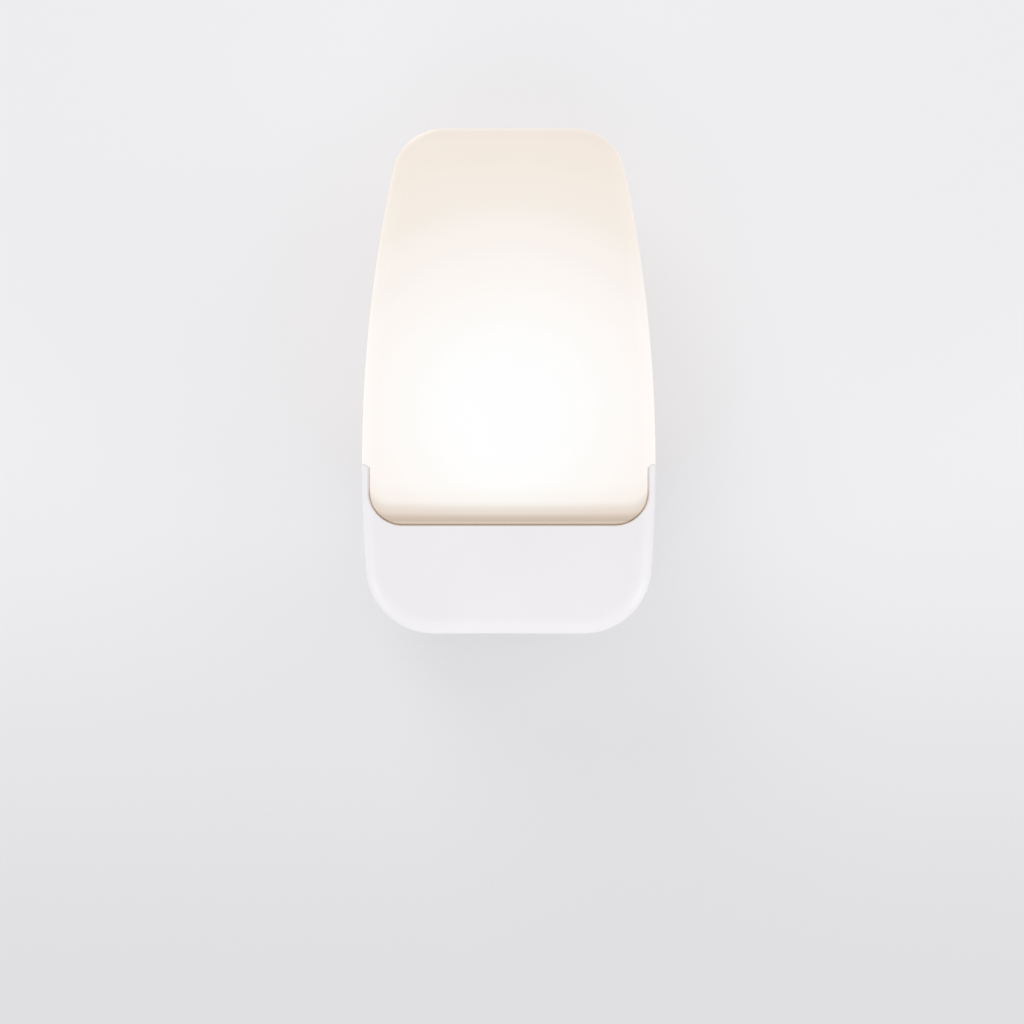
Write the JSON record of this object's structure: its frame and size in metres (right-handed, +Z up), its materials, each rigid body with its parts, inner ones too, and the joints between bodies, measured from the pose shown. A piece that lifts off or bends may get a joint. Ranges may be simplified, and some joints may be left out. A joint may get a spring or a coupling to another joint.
{
  "type": "plug in night light",
  "caption": "Plug-in night light: tall bowed frosted lens over a white housing with a two-blade plug behind and a slide switch underneath.",
  "frame": {"origin": "midway between the two plug blades, on the raised face behind the housing that rests on the outlet", "axes": "+X to the right seen from the front, +Y out of the back into the wall, along the blades, +Z up"},
  "size_m": [0.0722, 0.0605, 0.1258],
  "materials": {
    "housing_plastic": "fine satin texture",
    "lens_plastic": "frosted, lit from inside",
    "tray_plastic": "satin white",
    "blade_brass": "nickel plated, lightly worn",
    "screw_steel": "zinc plated",
    "clamp_fibre": "moulded phenolic",
    "circuit_board": "phenolic paper board",
    "led_board_mask": "white solder mask",
    "led_body": "white moulded",
    "phosphor": "yellow fill, lit",
    "film_yellow": "epoxy filled case",
    "can_sleeve": "shrink sleeve",
    "diode_black": "moulded epoxy",
    "resistor_body": "lacquered",
    "solder": "bright tin",
    "switch_steel": "tin plated",
    "switch_plate": "phenolic",
    "switch_black": "nylon",
    "contact_brass": "silver plated",
    "wire_black": "wire insulation",
    "wire_white": "wire insulation",
    "wire_red": "wire insulation"
  },
  "bodies": {
    "light": {"rear_cover": "housing_plastic", "front_cover": "housing_plastic", "lens": "lens_plastic", "reflector_tray": "tray_plastic", "led_board": "led_board_mask", "led_packages": "led_body", "led_phosphors": "phosphor", "led_board_screws": "screw_steel", "blade_line": "blade_brass", "blade_neutral": "blade_brass", "blade_clamp": "clamp_fibre", "blade_clamp_screws": "screw_steel", "main_board": "circuit_board", "main_board_screws": "screw_steel", "film_capacitor": "film_yellow", "filter_capacitor": "can_sleeve", "rectifier_diodes": "diode_black", "fusible_resistor": "resistor_body", "bleed_resistor": "resistor_body", "zener_diode": "diode_black", "solder_joints": "solder", "switch_frame": "switch_steel", "switch_base": "switch_plate", "switch_terminals": "contact_brass", "lead_line": "wire_black", "lead_neutral": "wire_white", "led_lead_positive": "wire_red", "led_lead_negative": "wire_black", "case_screws": "screw_steel"},
    "switch_lever": {"switch_knob": "housing_plastic", "switch_slider": "switch_black", "switch_contact": "contact_brass"}
  },
  "joints": [
    {"name": "switch_slide", "type": "slide", "parent": "light", "child": "switch_lever", "axis": [1, 0, 0], "range_m": [-0.0035, 0]}
  ]
}
